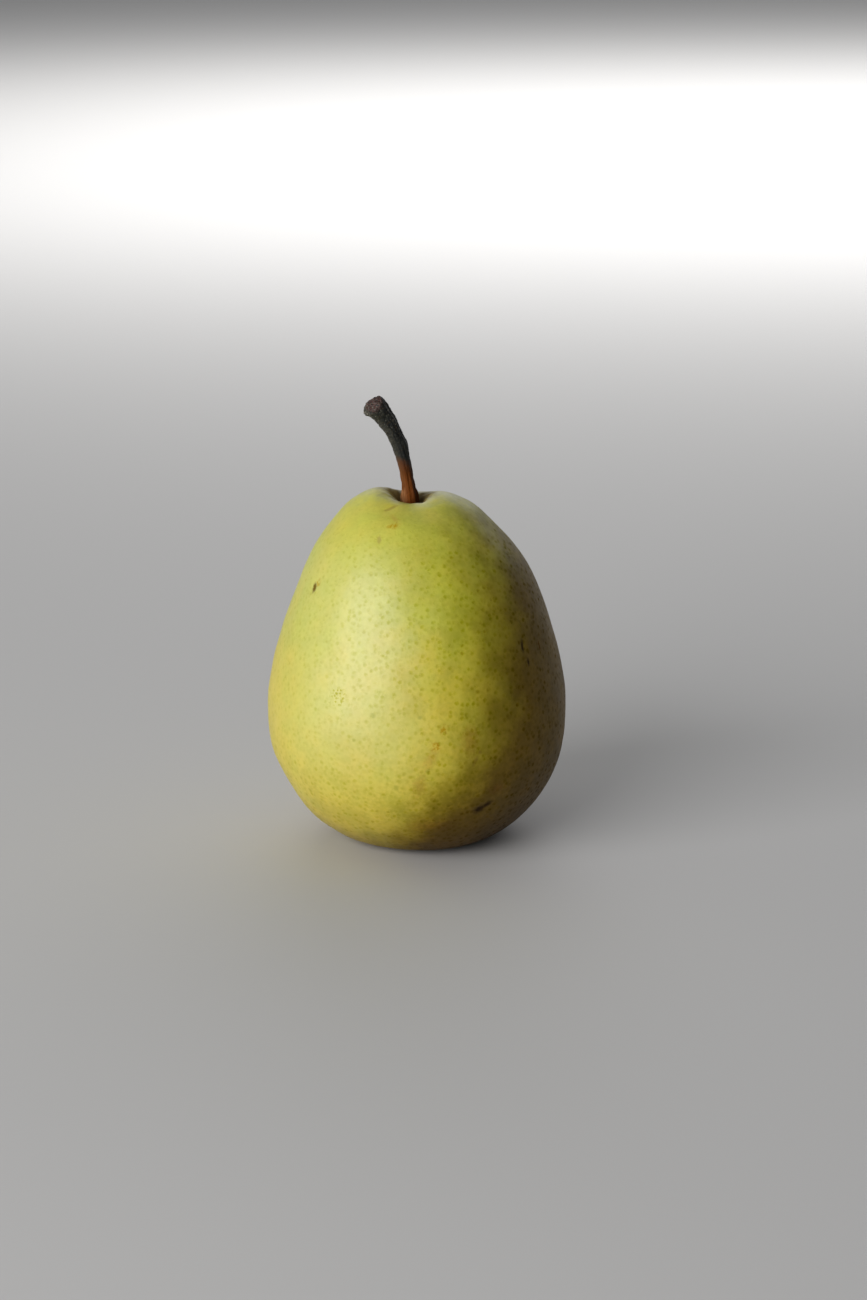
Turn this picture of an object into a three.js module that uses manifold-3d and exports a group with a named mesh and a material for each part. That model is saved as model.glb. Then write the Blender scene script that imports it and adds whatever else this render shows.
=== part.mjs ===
// A whole pear as picked: the fruit, its woody stem and the dried calyx under it.
// Units are millimetres and +Z is up. The pear stands on the ring round its calyx basin,
// with the lowest point of that ring at z = 0 and the middle of the fruit above the origin.

import * as THREE from 'three';
import { mergeVertices } from 'three/addons/utils/BufferGeometryUtils.js';
import Module from 'manifold-3d';

const wasm = await Module();
wasm.setup();

// ---- Fruit ----

const BELLY_RADIUS = 35.4;      // widest half section
const BELLY_HEIGHT = 32;
const CROWN_HEIGHT = 81.6;      // top of the ring round the stem cavity
const CROWN_RADIUS = 6;         // radius of that ring
const CAVITY_DEPTH = 4.6;       // crown ring down to the foot of the stem
const LOBE_RADIUS = 8;          // where the crown's two lobes are highest
const LOBE_WIDTH = 7;           // how far each lobe spreads in and out from there
const BASIN_DEPTH = 6;          // resting ring up to the middle of the calyx basin
const REST_RADIUS = 13.5;       // middle of the ring that the pear stands on
const REST_WIDTH = 3;           // that ring's flat width

const CROWN_LEAN = -1.8;        // the crown's middle, sideways from the belly's
const LEAN_START = 58;          // height from which the axis leans
const FOOT_SHIFT = 0.5;         // the foot's middle, sideways from the belly's
const FOOT_TOP = 30;            // height up to which the foot is shifted

const FRUIT_SIDES = 64;

// ---- Stem ----

const STEM_ROOT_HEIGHT = 72;    // lower end of the root, inside the fruit
const STEM_FOOT_RADIUS = 2.2;
const STEM_WAIST_RADIUS = 1.6;
const STEM_KNOB_RADIUS = 2.8;
const STEM_SIDES = 20;

// ---- Calyx ----

const SEPALS = 5;
const SEPAL_LENGTH = 5.4;
const SEPAL_WIDTH = 4;
const SEPAL_THICKNESS = 0.7;
const CUP_RADIUS = 3.1;
const CUP_MOUTH_RADIUS = 2;
const CUP_MOUTH_HEIGHT = 3.6;
const CUP_ROOT_HEIGHT = 7.4;
const CUP_SIDES = 24;

const CLEARANCE = 0.3;          // gap between a root and the flesh round it
const STEPS = 3;                // rings of facets between two points of a profile

// ---- Shared shaping ----

// Turns a smooth curve through profile points [radius, height] into a closed shape round Z.
function turned(points, steps, sides) {
  const outline = new THREE.SplineCurve(points.map(([r, z]) => new THREE.Vector2(r, z)));
  const profile = outline.getPoints(steps * (points.length - 1));
  profile[0].x = 0;
  profile[profile.length - 1].x = 0;
  return new THREE.LatheGeometry(profile, sides).rotateX(Math.PI / 2);
}

// Moves every vertex of a shape by a rule.
function shaped(geometry, move) {
  const position = geometry.attributes.position;
  const point = new THREE.Vector3();
  for (let i = 0; i < position.count; i++) {
    move(point.fromBufferAttribute(position, i));
    position.setXYZ(i, point.x, point.y, point.z);
  }
  return geometry;
}

function solid(geometry) {
  geometry.deleteAttribute('normal');
  geometry.deleteAttribute('uv');
  const merged = mergeVertices(geometry, 1e-4);
  return new wasm.Manifold(new wasm.Mesh({
    numProp: 3,
    vertProperties: new Float32Array(merged.attributes.position.array),
    triVerts: new Uint32Array(merged.index.array),
  }));
}

function surface(body) {
  const mesh = body.getMesh();
  const geometry = new THREE.BufferGeometry();
  geometry.setAttribute('position', new THREE.BufferAttribute(mesh.vertProperties, 3));
  geometry.setIndex(new THREE.BufferAttribute(mesh.triVerts, 1));
  geometry.computeVertexNormals();
  return geometry;
}

// A smooth hump of height 1 round a middle value.
function hump(value, middle, width) {
  return Math.exp(-(((value - middle) / width) ** 2));
}

// ---- Fruit ----

function fruitProfile() {
  const cavityFloor = CROWN_HEIGHT - CAVITY_DEPTH;
  return [
    [0, BASIN_DEPTH], [4.5, BASIN_DEPTH - 0.7], [9, 2.4],
    [REST_RADIUS - REST_WIDTH / 2, 0], [REST_RADIUS + REST_WIDTH / 2, 0],
    [21, 2.2], [28.4, 9], [34.3, 20.5], [BELLY_RADIUS, BELLY_HEIGHT], [33.4, 44], [29.7, 57],
    [23.9, 69], [17, 77.4], [CROWN_RADIUS + 6.5, CROWN_HEIGHT - 1.5],
    [CROWN_RADIUS + 3, CROWN_HEIGHT - 0.3], [CROWN_RADIUS, CROWN_HEIGHT],
    [CROWN_RADIUS - 1.9, CROWN_HEIGHT - 1], [CROWN_RADIUS - 2.9, CROWN_HEIGHT - 2.4],
    [2.5, cavityFloor + 0.9], [0, cavityFloor],
  ];
}

// The crown leans to one side and rises in two uneven lobes beside the stem. The body is
// slightly squared, and five low ribs run into the calyx basin.
function growFruit(p) {
  const radius = Math.hypot(p.x, p.y);
  const angle = Math.atan2(p.y, p.x);
  const body = 0.35 * Math.sin(2 * angle) + 0.35 * Math.cos(3 * angle + 2.3);
  const ribs = 0.35 * Math.cos(SEPALS * angle) * hump(p.z, 4, 9) * hump(radius, 18, 10);
  const swell = body * hump(p.z, 34, 22) + ribs;
  const grown = 1 + swell / BELLY_RADIUS;
  const lobes = 0.6 + 0.9 * Math.cos(2 * angle) - 0.5 * Math.cos(angle) - 0.1 * Math.sin(angle);
  const atCrown = hump(radius, LOBE_RADIUS, LOBE_WIDTH) * THREE.MathUtils.smoothstep(p.z, 70, 80);
  const lean = CROWN_LEAN * THREE.MathUtils.smoothstep(p.z, LEAN_START, CROWN_HEIGHT);
  const foot = FOOT_SHIFT * (1 - THREE.MathUtils.smoothstep(p.z, 0, FOOT_TOP));
  p.set(p.x * grown + lean + foot, p.y * grown, Math.max(p.z + lobes * atCrown, 0));
}

function fruit() {
  const whole = solid(shaped(turned(fruitProfile(), STEPS, FRUIT_SIDES), growFruit));
  const stemPit = solid(stem(CLEARANCE));
  const calyxPit = solid(calyxCup(CLEARANCE));
  return surface(whole.subtract(stemPit).subtract(calyxPit));
}

// ---- Stem ----

// The middle line of the stem, from its root up to the middle of its end face.
function stemLine() {
  return new THREE.CatmullRomCurve3([
    [-2, 0, STEM_ROOT_HEIGHT], [-1.8, 0, 81], [-2.4, 0, 86.5], [-3.4, 0, 91.5],
    [-5.3, -0.2, 96.8], [-7.7, -0.5, 100.4], [-10.7, -1, 104.1],
  ].map(([x, y, z]) => new THREE.Vector3(x, y, z)));
}

// Carries a shape that stands along Z from 0 to the line's length onto that line.
function bentAlong(line, geometry) {
  const length = line.getLength();
  const side = new THREE.Vector3();
  const across = new THREE.Vector3();
  return shaped(geometry, (p) => {
    const along = THREE.MathUtils.clamp(p.z / length, 0, 1);
    const tangent = line.getTangentAt(along);
    across.set(0, 1, 0).addScaledVector(tangent, -tangent.y).normalize();
    side.crossVectors(across, tangent);
    const { x, y } = p;
    const over = p.z - along * length;
    p.copy(line.getPointAt(along)).addScaledVector(side, x).addScaledVector(across, y);
    p.addScaledVector(tangent, over);
  });
}

function stem(clearance = 0) {
  const line = stemLine();
  const length = line.getLength();
  const profile = [
    [0, -clearance], [1.7 + clearance, -clearance], [STEM_FOOT_RADIUS + clearance, 3],
    [STEM_FOOT_RADIUS + clearance, 9], [1.8 + clearance, 12], [STEM_WAIST_RADIUS, 16],
    [1.75, 21], [1.9, 25], [2.1, 29], [STEM_KNOB_RADIUS - 0.1, length - 2.2],
    [STEM_KNOB_RADIUS, length - 0.9], [STEM_KNOB_RADIUS - 0.6, length], [0, length - 0.2],
  ];
  return bentAlong(line, turned(profile, STEPS, STEM_SIDES));
}

// ---- Calyx ----

// The short dried cup, rooted in the flesh with its mouth down.
function calyxCup(clearance = 0) {
  const outer = CUP_RADIUS + clearance;
  const cup = turned([
    [0, CUP_ROOT_HEIGHT - 2.2], [CUP_MOUTH_RADIUS - 0.3, CUP_ROOT_HEIGHT - 2.3],
    [CUP_MOUTH_RADIUS, CUP_MOUTH_HEIGHT + 0.3], [CUP_MOUTH_RADIUS + 0.4, CUP_MOUTH_HEIGHT],
    [outer - 0.2, CUP_MOUTH_HEIGHT + 0.2], [outer, CUP_MOUTH_HEIGHT + 1],
    [outer - 0.1, CUP_ROOT_HEIGHT - 0.6], [outer - 0.8, CUP_ROOT_HEIGHT + clearance],
    [0, CUP_ROOT_HEIGHT + clearance],
  ], 2, CUP_SIDES);
  return cup.translate(FOOT_SHIFT, 0, 0);
}

// One sepal: a blade that narrows to a point and curls down out of the basin.
function sepal(turn) {
  const blade = new THREE.BoxGeometry(SEPAL_LENGTH, SEPAL_WIDTH, SEPAL_THICKNESS, 8, 4, 1);
  shaped(blade, (p) => {
    const along = p.x / SEPAL_LENGTH + 0.5;
    const trough = 0.35 * (2 * p.y / SEPAL_WIDTH) ** 2 * along;
    p.y *= 1 - 0.9 * along ** 2;
    p.x += SEPAL_LENGTH / 2 + CUP_RADIUS - 0.9;
    p.z += 4.3 - 0.9 * along - 1.4 * along ** 3 - trough;
  });
  return blade.rotateZ(turn).translate(FOOT_SHIFT, 0, 0);
}

function calyx() {
  let body = solid(calyxCup());
  for (let i = 0; i < SEPALS; i++) {
    body = body.add(solid(sepal(2 * Math.PI * (i + 0.5) / SEPALS)));
  }
  return surface(body);
}

// ---- The pear ----

function finish(name, geometry, color, roughness) {
  const material = new THREE.MeshStandardMaterial({ color, roughness, metalness: 0 });
  const mesh = new THREE.Mesh(geometry, material);
  mesh.name = name;
  return mesh;
}

const group = new THREE.Group();
group.add(
  finish('fruit', fruit(), 0xb9b84f, 0.45),
  finish('stem', stem(), 0x4a3426, 0.8),
  finish('calyx', calyx(), 0x3a2c20, 0.9),
);

export default group;
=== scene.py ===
"""A whole pear as picked: waxy skin, woody stem and dried calyx, modelled over its solids."""
import math
from typing import NamedTuple

import bpy
import numpy as np
from bpy.props import FloatProperty, FloatVectorProperty, IntProperty, PointerProperty
from mathutils import Matrix, Vector, noise


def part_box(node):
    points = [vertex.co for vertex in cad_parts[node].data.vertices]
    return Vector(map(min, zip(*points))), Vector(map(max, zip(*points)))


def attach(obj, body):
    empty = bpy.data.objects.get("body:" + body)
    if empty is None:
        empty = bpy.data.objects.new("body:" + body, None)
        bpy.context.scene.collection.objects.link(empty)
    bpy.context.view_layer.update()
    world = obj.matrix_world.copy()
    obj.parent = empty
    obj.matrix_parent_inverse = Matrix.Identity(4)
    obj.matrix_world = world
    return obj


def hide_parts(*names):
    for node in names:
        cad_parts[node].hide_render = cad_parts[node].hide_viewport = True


bl_info = {
    "name": "Pear",
    "version": (1, 0, 0),
    "blender": (4, 5, 0),
    "location": "3D View > Sidebar > Pear",
    "description": "Models a pear with its stem and dried calyx, and a plain stage for it",
    "category": "Object",
}

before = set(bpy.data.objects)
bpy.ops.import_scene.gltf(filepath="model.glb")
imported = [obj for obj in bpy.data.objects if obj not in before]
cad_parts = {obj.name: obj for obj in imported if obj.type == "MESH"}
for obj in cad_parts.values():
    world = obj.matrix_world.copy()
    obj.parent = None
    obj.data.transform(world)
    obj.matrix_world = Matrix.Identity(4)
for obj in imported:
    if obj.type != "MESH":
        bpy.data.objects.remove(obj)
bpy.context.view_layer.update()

MM = 0.001
TURN = 2 * math.pi
UP = Vector((0, 0, 1))
SEED = 7                        # for the sepals' curl and the stamens' places
WELD = 0.001 * MM               # points closer than this are one
STILL = 1e-6 * MM               # moves shorter than this are left out
SLACK = 0.8 * MM                # how far a piece's box may depart from its solid's
CURL_SLACK = 1.2 * MM           # the same for the calyx, whose sepals curl unevenly


# ---- Sizes and colours ----

def length(name, description, millimetres):
    """A size property, given in millimetres and held in metres."""
    return FloatProperty(name=name, description=description, default=millimetres * MM,
                         unit="LENGTH", precision=5)


def colour(name, description, red, green, blue):
    """A colour property; stains are multiplied into the colour under them."""
    return FloatVectorProperty(name=name, description=description, subtype="COLOR", size=3,
                               default=(red, green, blue), min=0.0, max=1.0)


def share(name, description, value):
    """A property between 0 and 1."""
    return FloatProperty(name=name, description=description, default=value, subtype="FACTOR",
                         min=0.0, max=1.0)


class PearFruitSizes(bpy.types.PropertyGroup):
    belly_radius: length("Belly radius", "Widest half section of the fruit", 35.4)
    belly_height: length("Belly height", "Height of the widest section", 32)
    crown_height: length("Crown height", "Height of the ring round the stem cavity", 81.6)
    crown_radius: length("Crown radius", "Radius of the ring round the stem cavity", 6)
    cavity_depth: length("Cavity depth", "From the crown ring down to the stem's foot", 4.6)
    lobe_radius: length("Lobe radius", "Where the crown's two lobes are highest", 8)
    lobe_width: length("Lobe width", "How far each lobe spreads in and out from there", 7)
    basin_depth: length("Basin depth", "Depth of the hollow round the calyx", 6)
    rest_radius: length("Rest radius", "Middle of the ring that the pear stands on", 13.5)
    rest_width: length("Rest width", "Flat width of that ring", 3)
    crown_lean: length("Crown lean", "Sideways place of the crown", -1.8)
    lean_start: length("Lean start", "Height from which the axis leans", 58)
    foot_shift: length("Foot shift", "Sideways place of the foot", 0.5)
    foot_top: length("Foot top", "Height up to which the foot is shifted", 30)
    body_swell: length("Body swell", "How far the body is squared", 0.35)
    rib_swell: length("Rib swell", "Height of the five ribs that run into the basin", 0.35)
    swelling: length("Swelling", "Height of the broad swellings of the flesh", 0.35)
    unevenness: length("Unevenness", "Height of the small swellings of the flesh", 0.05)
    crease_depth: length("Crease depth", "Depth of the folds round the stem", 0.3)
    pucker_depth: length("Pucker depth", "Depth of the folds round the calyx", 0.25)
    pore_spacing: length("Pore spacing", "Distance from pore to pore", 1.28)
    sides: IntProperty(name="Sides", description="Facets round the fruit before smoothing",
                       default=76, min=16, max=96)


class PearStemSizes(bpy.types.PropertyGroup):
    root_radius: length("Root radius", "Lower end of the root, inside the fruit", 1.7)
    foot_radius: length("Foot radius", "Radius where the stem leaves the flesh", 2.2)
    waist_radius: length("Waist radius", "Thinnest part of the stem", 1.6)
    knob_radius: length("Knob radius", "Swollen free end of the stem", 2.8)
    groove_depth: length("Groove depth", "Depth of the lengthwise grooves", 0.06)
    bark_relief: length("Bark relief", "Height of the wrinkles in the bark", 0.14)
    knot_height: length("Knot height", "Swelling of the old bud on the stem's outer side", 0.4)


class PearCalyxSizes(bpy.types.PropertyGroup):
    sepals: IntProperty(name="Sepals", description="Dried leaves round the cup",
                        default=5, min=3, max=8)
    stamens: IntProperty(name="Stamens", description="Dead threads in the cup's mouth",
                         default=14, min=0, max=30)
    sepal_length: length("Sepal length", "From the cup's edge to the tip", 5.4)
    sepal_width: length("Sepal width", "Width of a sepal at its root", 4)
    sepal_thickness: length("Sepal thickness", "Thickness of a dried sepal", 0.4)
    cup_radius: length("Cup radius", "Outer radius of the dried cup", 3.1)
    mouth_radius: length("Mouth radius", "Inner radius of the dried cup", 2)
    mouth_height: length("Mouth height", "Lowest edge of the cup", 3.6)
    root_height: length("Root height", "Upper end of the cup, inside the fruit", 7.4)


class PearColours(bpy.types.PropertyGroup):
    skin_green: colour("Skin green", "Greener part of the skin", 0.58, 0.57, 0.035)
    skin_yellow: colour("Skin yellow", "Riper part of the skin", 0.72, 0.565, 0.04)
    # Partly a real waxy bloom, mostly a painted highlight on the lit left.
    skin_bloom_and_painted_highlight: colour("Skin bloom and highlight", "Pale waxy bloom and painted highlight of the lit side", 0.63, 0.64, 0.23)
    # Partly a real bronze colour, partly painted shade on the right side.
    skin_bronze_and_painted_shade: colour("Skin blush", "Bronze blush of the other side", 0.17, 0.095, 0.005)
    # Painted shade: darkens the skin near the foot and far round the shaded side.
    foot: colour("Skin foot", "Painted shade near the foot and round the shaded side", 0.62, 0.54, 0.2)
    halo: colour("Pore halo", "Stain round each pore", 0.74, 0.76, 0.2)
    pore: colour("Pore", "Stain of the pores", 0.74, 0.77, 0.2)
    pore_brown: colour("Brown pore", "Stain of the few brown pores", 0.6, 0.45, 0.25)
    crowd: colour("Crowded pore", "Stain of the crowded pores", 0.72, 0.72, 0.3)
    film: colour("Russet film", "Thin corky bloom round the stem", 0.37, 0.36, 0.22)
    # Brown round both hollows; on the stem cavity's lips it is partly painted shade.
    brown_rim_and_shade: colour("Cavity edge", "Brown tinge round both hollows", 0.22, 0.15, 0.055)
    # Real russet; on the stem cavity's far wall it is also spread as painted shade.
    russet: colour("Russet", "Thick corky skin in the hollows", 0.17, 0.115, 0.045)
    scar: colour("Scar", "Healed nicks in the skin", 0.11, 0.045, 0.006)
    ochre: colour("Ochre", "Stain of the faint corky flecks", 0.84, 0.55, 0.12)
    bruise: colour("Bruise", "Dark pressed spots", 0.02, 0.009, 0.007)
    bark_rust: colour("Young bark", "Lower part of the stem", 0.21, 0.06, 0.011)
    # Painted shade in the bark's grooves and at its right, and the real darker top of the young
    # bark.
    dark_bark_and_shade: colour("Bark grooves", "Painted shade in the grooves and at the right of the young bark, and its darker top",
                       0.045, 0.013, 0.002)
    # Painted light on the left edge of the young bark.
    young_bark_painted_light: colour("Young bark painted light", "Painted light on the left edge of the young bark", 0.36, 0.17, 0.07)
    bark_fleck: colour("Bark flecks", "Brown flecks on the old bark", 0.045, 0.03, 0.015)
    bark_dark: colour("Old bark", "Upper part of the stem", 0.008, 0.009, 0.008)
    bark_grey: colour("Weathered bark", "Grey patches on the old bark", 0.028, 0.029, 0.021)
    # Painted light on the left of the old bark.
    old_bark_painted_light: colour("Old bark painted light", "Painted light on the left of the old bark", 0.07, 0.065, 0.047)
    bark_pale: colour("Bark specks", "Pale specks on the old bark", 0.26, 0.235, 0.18)
    pith: colour("Pith", "Broken end of the stem", 0.075, 0.028, 0.02)
    pith_pale: colour("Pith threads", "Pale threads in the broken end", 0.15, 0.11, 0.1)
    calyx: colour("Calyx", "Dried sepals", 0.075, 0.042, 0.02)
    calyx_pale: colour("Calyx patches", "Worn patches of the sepals", 0.2, 0.13, 0.07)


class PearStageSettings(bpy.types.PropertyGroup):
    floor: colour("Floor", "The floor's colour", 0.58, 0.57, 0.56)
    sky: colour("Sky", "Colour of the light from all round", 0.95, 0.97, 1.0)
    sky_low: share("Dim sky", "Light from the front and below", 0.04)
    sky_high: share("Bright sky", "Light from behind and above", 0.33)
    key_power: FloatProperty(name="Key power", description="Soft light from the front left",
                             default=16.3, min=0.0, unit="POWER")
    back_power: FloatProperty(name="Back power", description="Soft light over the floor behind",
                              default=22.0, min=0.0, unit="POWER")


# ---- Shaping helpers ----

def only(piece):
    """Selects one piece and nothing else."""
    bpy.ops.object.select_all(action="DESELECT")
    piece.select_set(True)
    bpy.context.view_layer.objects.active = piece


def modify(piece, kind, **settings):
    """Adds a modifier to a piece and applies it."""
    only(piece)
    modifier = piece.modifiers.new(kind.title(), kind)
    for key, value in settings.items():
        setattr(modifier, key, value)
    bpy.ops.object.modifier_apply(modifier=modifier.name)


def points_of(piece):
    """A piece's vertices as an array of x, y, z."""
    places = np.empty(len(piece.data.vertices) * 3)
    piece.data.vertices.foreach_get("co", places)
    return places.reshape(-1, 3)


def push(piece, direction, offsets):
    """Moves each vertex by its own offset along X, Y, Z or NORMAL, by a weighted displacement."""
    for sign in (1, -1):
        part = np.clip(sign * offsets, 0, None)
        peak = float(part.max())
        if peak < STILL:
            continue
        group = piece.vertex_groups.new(name="push")
        for index in np.flatnonzero(part > 0):
            group.add([int(index)], float(part[index] / peak), "REPLACE")
        modify(piece, "DISPLACE", direction=direction, strength=sign * peak, mid_level=0.0,
               vertex_group=group.name)
        piece.vertex_groups.clear()


def carry(piece, places):
    """Carries every vertex of a piece to its new place."""
    moves = (places - points_of(piece)).T
    for direction, offsets in zip("XYZ", moves):
        push(piece, direction, offsets)


def swung(out, aside, z, turn):
    """Places out from the Z axis and aside of that line, swung round the axis by a turn."""
    return np.stack([out * math.cos(turn) - aside * math.sin(turn),
                     out * math.sin(turn) + aside * math.cos(turn), z], 1)


def hump(value, middle, width):
    """A smooth hump of height 1 round a middle value."""
    return np.exp(-((value - middle) / width) ** 2)


def step(value, low, high):
    """Rises smoothly from 0 to 1 between two values."""
    part = np.clip((value - low) / (high - low), 0, 1)
    return part * part * (3 - 2 * part)


def cloud(places, grain, octaves=2):
    """Cloudy unevenness between about -1 and 1; grain is its lump size in x, y and z."""
    return np.array([noise.fractal(Vector(place), 1.0, 2.0, octaves)
                     for place in places / np.array(grain)])


def smooth_through(points, pitch):
    """Points along a smooth line through a few given ones, about a pitch apart."""
    given = np.array(points, float)
    padded = np.vstack([given[:1], given, given[-1:]])
    line = []
    for before, start, end, after in zip(padded, padded[1:], padded[2:], padded[3:]):
        steps = max(2, round(float(np.linalg.norm(end - start)) / pitch))
        for part in np.arange(steps) / steps:
            lead, trail = (end - before) / 2, (after - start) / 2
            line.append((2 * (start - end) + lead + trail) * part ** 3
                        + (3 * (end - start) - 2 * lead - trail) * part ** 2
                        + lead * part + start)
    return np.array(line + [given[-1]])


def turned(name, profile, sides):
    """Spins a profile of radius and height round Z into a closed piece."""
    bpy.ops.object.select_all(action="DESELECT")
    bpy.ops.mesh.primitive_plane_add(size=MM)
    piece = bpy.context.object
    piece.name = piece.data.name = name
    bpy.ops.object.mode_set(mode="EDIT")
    bpy.ops.mesh.select_all(action="SELECT")
    bpy.ops.mesh.merge(type="CENTER")
    bpy.ops.transform.translate(value=(profile[0][0], 0, profile[0][1]))
    for here, there in zip(profile, profile[1:]):
        move = (there[0] - here[0], 0, there[1] - here[1])
        bpy.ops.mesh.extrude_region_move(TRANSFORM_OT_translate={"value": move})
    bpy.ops.mesh.select_all(action="SELECT")
    bpy.ops.mesh.spin(steps=sides, angle=TURN, center=(0, 0, 0), axis=(0, 0, 1))
    bpy.ops.mesh.select_all(action="SELECT")
    bpy.ops.mesh.remove_doubles(threshold=WELD)
    bpy.ops.mesh.normals_make_consistent(inside=False)
    bpy.ops.object.mode_set(mode="OBJECT")
    return piece


def smooth(piece, levels):
    """Rounds a piece by subdividing it."""
    modify(piece, "SUBSURF", levels=levels, render_levels=levels)
    only(piece)
    bpy.ops.object.shade_smooth()


def joined(name, pieces):
    """Joins pieces into the first one."""
    bpy.ops.object.select_all(action="DESELECT")
    for piece in pieces:
        piece.select_set(True)
    bpy.context.view_layer.objects.active = pieces[0]
    bpy.ops.object.join()
    pieces[0].name = pieces[0].data.name = name
    return pieces[0]


def require_closed(piece):
    """Stops if a piece has an open edge."""
    uses = np.zeros(len(piece.data.edges), int)
    for polygon in piece.data.polygons:
        for loop in polygon.loop_indices:
            uses[piece.data.loops[loop].edge_index] += 1
    if (uses != 2).any():
        raise RuntimeError(f"{piece.name} has {int((uses != 2).sum())} open edges")


def require_fit(piece, node, slack):
    """Stops if a piece's box departs from its solid's box by more than the slack."""
    places = points_of(piece)
    low, high = np.array(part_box(node))
    gap = max(np.abs(places.min(0) - low).max(), np.abs(places.max(0) - high).max())
    if gap > slack:
        raise RuntimeError(f"{piece.name} departs from {node} by {gap / MM:.2f} mm")


# ---- Material helpers ----

class Recipe:
    """Builds one node material; its steps take and give sockets.

    In the functions that use one, r is the recipe, c the colours and s the piece's sizes.
    """

    def __init__(self, name):
        self.material = bpy.data.materials.new(name)
        self.material.use_nodes = True
        self.tree = self.material.node_tree
        self.shader = self.tree.nodes["Principled BSDF"]
        where = self.tree.nodes.new("ShaderNodeTexCoord").outputs
        self.place, self.outward = where["Object"], where["Normal"]

    def feed(self, socket, value):
        """Links a socket to another, or sets it to a plain value."""
        if isinstance(value, bpy.types.NodeSocket):
            self.tree.links.new(value, socket)
        elif socket.type == "RGBA" and len(value) == 3:
            socket.default_value = (*value, 1)
        else:
            socket.default_value = value

    def node(self, kind, inputs=(), **settings):
        """Adds a node with its settings and inputs."""
        made = self.tree.nodes.new("ShaderNode" + kind)
        for key, value in settings.items():
            setattr(made, key, value)
        for key, value in dict(inputs).items():
            self.feed(made.inputs[key], value)
        return made

    def math(self, operation, *values, clamp=False):
        made = self.node("Math", dict(enumerate(values)), operation=operation, use_clamp=clamp)
        return made.outputs[0]

    def vector(self, operation, *values):
        made = self.node("VectorMath", dict(enumerate(values)), operation=operation)
        scalar = operation in ("LENGTH", "DOT_PRODUCT")
        return made.outputs["Value" if scalar else "Vector"]

    def chain(self, operation, values):
        """One operation carried through a row of values."""
        total = values[0]
        for value in values[1:]:
            total = self.math(operation, total, value)
        return total

    def plus(self, *values):
        return self.chain("ADD", values)

    def times(self, *values):
        return self.chain("MULTIPLY", values)

    def most(self, *values):
        """The largest of several values."""
        return self.chain("MAXIMUM", values)

    def mix(self, share, first, second, blend="MIX"):
        """Goes from one colour to another by a share."""
        made = self.node("Mix", data_type="RGBA", blend_type=blend)
        self.feed(made.inputs["Factor"], share)
        self.feed(made.inputs[6], first)
        self.feed(made.inputs[7], second)
        return made.outputs[2]

    def stain(self, share, ground, dye):
        """Multiplies a colour by a dye, by a share."""
        return self.mix(share, ground, dye, "MULTIPLY")

    def ramp(self, value, low, high, start=0.0, end=1.0):
        """Follows value from low to high with a smooth rise from start to end."""
        made = self.node("MapRange", {"Value": value, "From Min": low, "From Max": high,
                                      "To Min": start, "To Max": end},
                         interpolation_type="SMOOTHSTEP")
        return made.outputs["Result"]

    def noise(self, size, detail=2.0, place=None, swing=1.0):
        """Cloudy noise with lumps of one size, swinging evenly round 0."""
        made = self.node("TexNoise", {"Vector": place or self.place, "Scale": 1 / size,
                                      "Detail": detail})
        return self.math("MULTIPLY_ADD", made.outputs["Fac"], 2 * swing, -swing)

    def attribute(self, name):
        return self.node("Attribute", attribute_name=name).outputs["Vector"]

    def blob(self, middle, turn, size, edge=0.5, ragged=None):
        """1 inside an ellipsoid of half sizes, fading to 0 at its surface."""
        inside = self.node("Mapping", {"Vector": self.place, "Location": middle,
                                       "Rotation": turn, "Scale": size}, vector_type="TEXTURE")
        far = self.vector("LENGTH", inside.outputs["Vector"])
        if ragged:
            far = self.plus(far, ragged)
        return self.ramp(far, edge, 1.0, 1.0, 0.0)

    def split(self, vector):
        return self.node("SeparateXYZ", {"Vector": vector}).outputs

    def bump(self, height, distance):
        made = self.node("Bump", {"Height": height, "Distance": distance, "Strength": 1.0})
        return made.outputs["Normal"]

    def finish(self, **sockets):
        """Feeds the shader and gives the finished material."""
        for key, value in sockets.items():
            self.feed(self.shader.inputs[key.replace("_", " ")], value)
        return self.material


def dress(piece, material, node):
    """Gives a finished piece its material and body, and hides the CAD node it stands in for."""
    piece.data.materials.clear()
    piece.data.materials.append(material)
    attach(piece, "root")
    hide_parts(node)


# ---- Marks in the skin ----

class Mark(NamedTuple):
    """A mark in the skin: degrees round from the right, then millimetres, then degrees."""
    angle: float
    height: float
    wide: float
    tall: float
    slant: float = 0.0
    depth: float = 0.0


MARK_REACH = 1.2 * MM           # how far in and out a mark colours the flesh
DENT_REACH = 1.1 * MM           # how far round its middle a mark is sunk
OUTSIDE = 100 * MM              # a radius well outside the fruit

NICKS = [                                   # corky brown, sunk a little
    Mark(-151, 63.3, 1.1, 1.7, -16, 0.25), Mark(-28, 50, 0.4, 1.6),
    Mark(38, 57, 0.4, 1.6, -20, 0.2),
    Mark(112, 30, 0.3, 2.2, 55, 0.15), Mark(160, 46, 0.5, 0.8, 10, 0.2),
]
CREASES = [                                 # faint brown lines
    Mark(-125, 80.8, 1.3, 0.5, -20, 0.1), Mark(-122.5, 81.2, 2.2, 0.6, -42, 0.15),
    Mark(-117, 75.6, 0.7, 1.4, -14, 0.1), Mark(-68, 27.7, 0.7, 1.8, 32, 0.1),
    Mark(-66, 29.8, 0.6, 0.6), Mark(52, 79, 1.8, 0.5, 20, 0.1),
]
FLECKS = [                                  # ochre cork, broken up
    Mark(-149, 64.6, 1.3, 1.5), Mark(-110, 78.4, 2.2, 1.2, -20), Mark(-83, 32, 1.7, 1.5),
    Mark(-80, 35.7, 1.3, 1.8, 15), Mark(70, 66, 1.4, 1.0), Mark(135, 58, 1.1, 1.3),
]
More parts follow.
